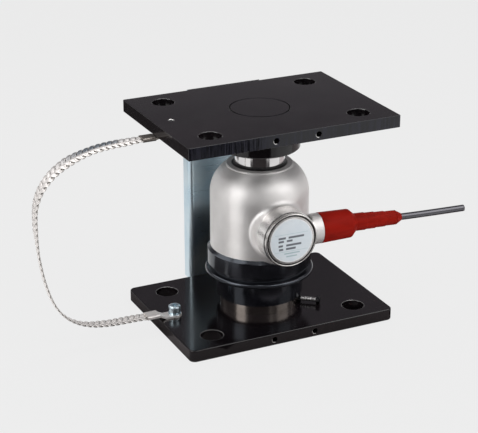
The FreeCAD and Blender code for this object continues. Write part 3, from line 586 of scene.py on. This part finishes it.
strap = {
    "upper": [(-10.7, -1.6), (-29.0, -1.6), (-50.6, -3.4), (-72.8, -10.4), (-89.2, -22.4), (-98.3, -39.6),
              (-99.0, -62.0)],                      # out from the plates' end, below the top plate
    "lower": [(-97.4, 72.0), (-93.9, 50.2), (-87.8, 30.6), (-78.2, 16.2), (-63.0, 7.1), (-45.2, 4.2),
              (-29.5, 3.8), (-10.7, 3.8)],          # and above the base plate
    "y": 1.0 * mm, "width": 12 * mm, "length": 0.2762,
    "twist": [(0.0, -2.0), (0.06, -8.0), (0.16, -7.0), (0.22, -14.0), (0.28, -8.0), (0.35, -3.0), (0.39, 0.0),
              (0.45, 0.0), (0.52, 11.0), (0.6, 7.0), (0.68, 3.0), (0.74, -3.0), (0.8, -5.0), (0.86, -1.0),
              (1.0, 0.0)],                          # share of the length, degrees
    "press": [(0.0, 0.8), (0.04, 1.0), (0.3, 1.0), (0.37, 0.8), (0.46, 0.8), (0.53, 1.0), (0.96, 1.0), (1.0, 0.8)],
    "pressed": 0.8, "strands": 3, "pitch": 14.6 * mm, "rise": 0.5 * mm, "strandWidth": 1.9 * mm,
    "strandThick": 0.43 * mm, "blunt": 0.93, "crown": 0.4 * mm, "spread": 0.6 * mm,
    # profile along the length and fade across it for the painted shade on the strap's rear edge
    "tarnishAndRearShade": [(0.0, 0.2), (0.05, 0.3), (0.08, 1.0), (0.17, 1.0), (0.24, 0.4), (0.3, 0.0)],
    "rearShadeMiddle": 0.8, "rearShadeFade": 2.5 * mm, "steps": 900, "round": 16,
}


def strapRoute():
    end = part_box("base_plate")[0].x
    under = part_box("top_plate")[0].z
    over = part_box("base_plate")[1].z
    upper = [(end + x * mm, strap["y"], under + z * mm) for x, z in strap["upper"]]
    lower = [(end + x * mm, strap["y"], over + z * mm) for x, z in strap["lower"]]
    return np.array(upper + lower)


def braidedStrap():
    # A flat plait: with a = 2 pi (k / strands + t / pitch) and b = blunt, strand k lies W asin(b sin a) / asin(b)
    # across the strap and -h sin(2 a) above it, so each comes in over the others from the edge and leaves under them.
    # A strand is an ellipse carried along that line, flatter where the strap is pressed.
    # Elsewhere the strap is crowned: its edges fall back by crown times the square of the share of half its width.
    line, t = evenSteps(routeLine(strapRoute()), strap["steps"])
    ahead = np.gradient(line, axis=0)
    ahead /= np.linalg.norm(ahead, axis=1, keepdims=True)
    level = np.array([0.0, 1.0, 0.0])
    twist = np.radians(np.interp(t / t[-1], *np.array(strap["twist"]).T))[:, None]
    press = np.interp(t / t[-1], *np.array(strap["press"]).T)
    side = level * np.cos(twist) + np.cross(ahead, level) * np.sin(twist)
    outward = np.cross(side, ahead)
    half = strap["width"] / 2 - strap["strandWidth"] + strap["spread"]
    a = 2 * np.pi * (np.arange(strap["strands"])[:, None] / strap["strands"] + t / strap["pitch"])
    across = half * np.arcsin(strap["blunt"] * np.sin(a)) / np.arcsin(strap["blunt"])
    rise = -strap["rise"] * press * np.sin(2 * a)
    run = np.stack([np.gradient(across, axis=1), np.broadcast_to(np.gradient(t), a.shape)], -1)
    run /= np.linalg.norm(run, axis=-1, keepdims=True)
    turn = np.linspace(0, 2 * np.pi, strap["round"], endpoint=False)
    wide = strap["strandWidth"] * np.cos(turn)
    thick = strap["strandThick"] * press[:, None] * np.sin(turn)
    x = across[..., None] + run[..., 1:] * wide
    shift = np.clip(t[:, None] - run[..., :1] * wide, 0, t[-1])
    at = shift / t[-1] * (len(t) - 1)
    low = np.clip(at.astype(int), 0, len(t) - 2)
    share = (at - low)[..., None]
    centre = line[low] * (1 - share) + line[low + 1] * share
    out = outward[low] * (1 - share) + outward[low + 1] * share
    tilted = side[low] * (1 - share) + side[low + 1] * share
    height = rise[..., None] + thick
    free = np.clip((press - strap["pressed"]) / (1 - strap["pressed"]), 0, 1)[:, None]
    crown = strap["crown"] * free * (x / (strap["width"] / 2)) ** 2
    points = centre + tilted * x[..., None] + out * (height - crown)[..., None]
    rows, steps, around = points.shape[:3]
    r, s, c = np.meshgrid(np.arange(rows), np.arange(steps - 1), np.arange(around), indexing="ij")
    after = (c + 1) % around
    first = (r * steps + s) * around
    faces = np.stack([first + c, first + after, first + around + after, first + around + c], -1).reshape(-1, 4)
    ends = (np.arange(rows)[:, None] * steps + [0, steps - 1]).reshape(-1, 1) * around + np.arange(around)
    piece = meshPiece("groundBraid", points.reshape(-1, 3), faces.tolist() + ends.tolist(), finishes["braid"])
    # painted shade: the strap's rear edge is darkened over the stretch below the top plate
    shadedAlong = np.interp(t / t[-1], *np.array(strap["tarnishAndRearShade"]).T)[:, None]
    rearward = np.clip(strap["rearShadeMiddle"] + x / strap["rearShadeFade"], 0, 1)
    for name, values in (("across", np.broadcast_to(np.cos(turn), points.shape[:3])),
                         ("height", height / press[:, None] / (strap["rise"] + strap["strandThick"])),
                         ("rear", shadedAlong * rearward)):
        attribute = piece.data.attributes.new(name, "FLOAT", "POINT")
        attribute.data.foreach_set("value", values.astype(np.float32).ravel())
    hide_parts("ground_strap")
    return piece


braidedStrap()
print("ground strap: plait of", strap["strands"], "strands")


# Signal cable: a round sheath along its route

cable = {
    "route": [(-18.5, 0.0), (28.5, 0.0), (75.5, -1.9), (102.5, -2.5), (130.8, -2.8)],   # out from the outlet's end
    "outletEnd": 32.5 * mm, "outletAxis": 44.2 * mm, "height": 85 * mm, "turn": -3.5,
    "diameter": 5.5 * mm, "length": 0.1493, "steps": 160, "round": 40,
    "trim": 0.02 * mm, "coreShares": (0.8, 0.78), "coreDepth": 0.4 * mm,
}


def cableRoute():
    turn = Matrix.Rotation(math.radians(cable["turn"]), 3, "Z")
    points = [turn @ Vector((cable["outletEnd"] + x * mm, -cable["outletAxis"], cable["height"] + z * mm))
              for x, z in cable["route"]]
    return np.array(points)


def sheathedCable():
    # a circle carried along the route, closed flat at its start and by a recessed core at its cut end
    line = evenSteps(routeLine(cableRoute()), cable["steps"])[0]
    ahead = np.gradient(line, axis=0)
    ahead /= np.linalg.norm(ahead, axis=1, keepdims=True)
    side = np.cross(ahead, [0.0, 0.0, 1.0])
    side /= np.linalg.norm(side, axis=1, keepdims=True)
    over = np.cross(side, ahead)
    turn = np.linspace(0, 2 * np.pi, cable["round"], endpoint=False)
    radius = cable["diameter"] / 2
    tube = (line[:, None] + side[:, None] * (radius * np.cos(turn))[:, None]
            + over[:, None] * (radius * np.sin(turn))[:, None])
    tube[-1] -= ahead[-1] * cable["trim"]
    core = line[-1] + (tube[-1] - line[-1]) * np.array(cable["coreShares"])[:, None, None]
    core[1] -= ahead[-1] * cable["coreDepth"]
    piece = gridPiece("signalLead", np.concatenate([tube, core]), finishes["sheath"])
    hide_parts("signal_cable")
    return piece


sheathedCable()
print("signal cable: done")


# Stage

studio = {
    "ground": tint(0.83, 0.83, 0.83), "shadowShare": 0.05, "glow": 1.013, "floorSize": 30.0, "floorHeight": -0.05 * mm,
    "fill": tint(0.30, 0.30, 0.31), "behindCamera": tint(0.015, 0.014, 0.015), "behindShare": 0.8,
    "overCamera": tint(1.0, 0.99, 0.98), "overShare": 0.3, "aimHeight": 90 * mm, "flagHeight": 1 * mm, "flagSteps": 25,
    "sky": [(0.0, tint(0.83, 0.83, 0.83)), (0.53, tint(0.83, 0.83, 0.83)), (0.6, tint(0.28, 0.28, 0.285)),
            (0.645, tint(0.21, 0.195, 0.213)), (0.656, tint(0.17, 0.157, 0.173)),
            (0.665, tint(0.1, 0.09, 0.102)), (0.7, tint(0.14, 0.127, 0.142)),
            (0.72, tint(0.18, 0.165, 0.183)), (0.78, tint(0.14, 0.135, 0.143)), (1.0, tint(0.36, 0.36, 0.37))],
    "boxes": [
        {"name": "leftLow", "turn": -56.0, "rise": 21.0, "far": 1.0, "wide": 0.52, "high": 0.36, "power": 2.3},
        {"name": "leftHigh", "turn": -80.0, "rise": 46.0, "far": 1.0, "wide": 1.7, "high": 0.55, "power": 4.4},
        {"name": "rightLow", "turn": 72.0, "rise": 21.0, "far": 1.0, "wide": 0.62, "high": 0.36, "power": 0.9},
        {"name": "rightHigh", "turn": 72.0, "rise": 44.0, "far": 1.0, "wide": 1.5, "high": 0.55, "power": 5.4},
        {"name": "topBox", "turn": 170.0, "rise": 70.0, "far": 1.1, "wide": 0.7, "high": 0.5, "power": 3.5},
    ],
    "flags": [                           # from turn to turn, from distance to distance, shade
        (-34.0, 34.0, 0.13, 0.165, 0.03), (-41.0, 44.0, 0.165, 0.4, 0.03), (-31.0, 30.0, 0.4, 0.75, 0.03),
        (30.0, 46.0, 0.476, 0.75, 0.03), (-34.0, -12.0, 0.0, 0.13, 0.4), (-12.0, 52.0, 0.0, 0.092, 0.4),
        (-12.0, 52.0, 0.092, 0.13, 0.03), (52.0, 80.0, 0.0, 0.13, 0.4), (34.0, 80.0, 0.13, 0.165, 0.03),
        (80.0, 215.0, 0.0, 0.165, 0.03), (240.0, 305.0, 0.0, 0.122, 0.22), (305.0, 326.0, 0.0, 0.122, 0.5),
        (256.0, 305.0, 0.122, 0.17, 0.12), (305.0, 326.0, 0.122, 0.165, 0.28),
        (100.0, 138.0, 0.165, 0.9, 0.5), (-124.0, -106.0, 0.38, 0.44, 0.06), (-180.0, -106.0, 0.44, 0.95, 0.06),
        (53.0, 75.0, 0.165, 0.24, 0.15), (84.0, 100.0, 0.165, 0.26, 0.05),
    ],
}

camera = {"place": (-0.5180, -1.0454, 0.5588), "azimuth": -25.550, "elevation": 22.188, "roll": -0.073,
          "lens": 117.10, "sensor": 36.0}


def seenRays(start):                     # 1 for rays that show the ground: camera, glossy and transmission
    path = start.node("ShaderNodeLightPath", {}, {}, "Is Camera Ray")
    return path.math("MAXIMUM", path, path.math("MAXIMUM", path.to("Is Glossy Ray"), path.to("Is Transmission Ray")))


def stageMesh(name, points, finish):
    data = bpy.data.meshes.new(name)
    rows, columns = points.shape[:2]
    i, j = np.meshgrid(np.arange(rows - 1), np.arange(columns - 1), indexing="ij")
    faces = np.stack([i * columns + j, i * columns + j + 1, (i + 1) * columns + j + 1, (i + 1) * columns + j], -1)
    data.from_pydata(points.reshape(-1, 3).tolist(), [], faces.reshape(-1, 4).tolist())
    data.materials.append(finish)
    made = bpy.data.objects.new(name, data)
    bpy.context.scene.collection.objects.link(made)
    return made


def paleFloor():
    finish, start = emptyFinish("paleFloor")
    lit = start.node("ShaderNodeBsdfDiffuse", {}, {"Color": studio["ground"]})
    even = start.node("ShaderNodeEmission", {}, {"Color": studio["ground"], "Strength": studio["glow"]})
    share = seenRays(start) * (1.0 - studio["shadowShare"])
    start.node("ShaderNodeOutputMaterial", {}, {
        "Surface": start.node("ShaderNodeMixShader", {}, {0: share, 1: lit, 2: even})})
    half = studio["floorSize"] / 2
    x, y = np.meshgrid([-half, half], [-half, half], indexing="ij")
    stageMesh("floor", np.stack([x, y, np.full_like(x, studio["floorHeight"])], -1), finish)


def heading(turn):                       # level direction, in degrees to the right of the camera's own
    angle = math.radians(camera["azimuth"] + turn)
    return Vector((math.sin(angle), -math.cos(angle), 0.0))


def darkFlag(fromTurn, toTurn, near, far, shade):
    # a sector of the floor about the object: distance, and turn from the camera's heading
    finish, start = emptyFinish("darkFlag")
    start.node("ShaderNodeOutputMaterial", {}, {
        "Surface": start.node("ShaderNodeBsdfDiffuse", {}, {"Color": tint(shade, shade * 0.9, shade * 0.9)})})
    turn = np.radians(camera["azimuth"] + np.linspace(fromTurn, toTurn, studio["flagSteps"]))
    out, turn = np.meshgrid([near, far], turn, indexing="ij")
    points = np.stack([out * np.sin(turn), -out * np.cos(turn), np.full_like(out, studio["flagHeight"])], -1)
    flag = stageMesh("flag", points, finish)
    flag.visible_camera = False
    flag.visible_diffuse = False
    flag.visible_shadow = False


def softbox(spec):
    data = bpy.data.lights.new(spec["name"], "AREA")
    data.shape = "RECTANGLE"
    data.size = spec["wide"]
    data.size_y = spec["high"]
    data.energy = spec["power"]
    lamp = bpy.data.objects.new(spec["name"], data)
    bpy.context.scene.collection.objects.link(lamp)
    rise = math.radians(spec["rise"])
    aim = heading(spec["turn"]) * math.cos(rise) + Vector((0, 0, math.sin(rise)))
    lamp.location = Vector((0, 0, studio["aimHeight"])) + aim * spec["far"]
    lamp.rotation_euler = aim.to_track_quat("Z", "Y").to_euler()


def studioSky():
    # bands of brightness by height, darker low down behind the camera and lighter above it
    world = bpy.data.worlds.new("studio")
    bpy.context.scene.world = world
    world.use_nodes = True
    world.node_tree.nodes.clear()
    start = Wire(world.node_tree)
    x, y, z = start.node("ShaderNodeTexCoord", {}, {}, "Generated").split()
    ahead = heading(0.0)
    front = x * ahead.x + y * ahead.y
    low = front.step(0.45, 0.75) * z.band((0.0, 0.1), (0.42, 0.52)) * studio["behindShare"]
    high = front.step(0.05, 0.3) * z.step(0.48, 0.6) * studio["overShare"]
    ramp = start.node("ShaderNodeValToRGB", {"stops": studio["sky"]}, {0: z * 0.5 + 0.5})
    sky = high.mix(low.mix(ramp, studio["behindCamera"]), studio["overCamera"])
    start.node("ShaderNodeOutputWorld", {}, {
        "Surface": start.node("ShaderNodeBackground", {}, {"Color": seenRays(start).mix(studio["fill"], sky)})})


def photoCamera():
    data = bpy.data.cameras.new("camera")
    data.lens = camera["lens"]
    data.sensor_fit = "HORIZONTAL"
    data.sensor_width = camera["sensor"]
    azimuth, elevation, roll = (math.radians(camera[key]) for key in ("azimuth", "elevation", "roll"))
    back = Vector((math.sin(azimuth) * math.cos(elevation), -math.cos(azimuth) * math.cos(elevation),
                   math.sin(elevation)))
    right = Vector((0, 0, 1)).cross(back).normalized()
    upward = back.cross(right)
    tilted = right * math.cos(roll) + upward * math.sin(roll)
    raised = upward * math.cos(roll) - right * math.sin(roll)
    place = Matrix((tilted, raised, back)).transposed().to_4x4()
    place.translation = Vector(camera["place"])
    eye = bpy.data.objects.new("camera", data)
    bpy.context.scene.collection.objects.link(eye)
    eye.matrix_world = place
    bpy.context.scene.camera = eye


paleFloor()
for flag in studio["flags"]:
    darkFlag(*flag)
for spec in studio["boxes"]:
    softbox(spec)
studioSky()
photoCamera()
bpy.context.scene.view_settings.view_transform = "Standard"
print("stage: floor,", len(studio["boxes"]), "lamps, camera")
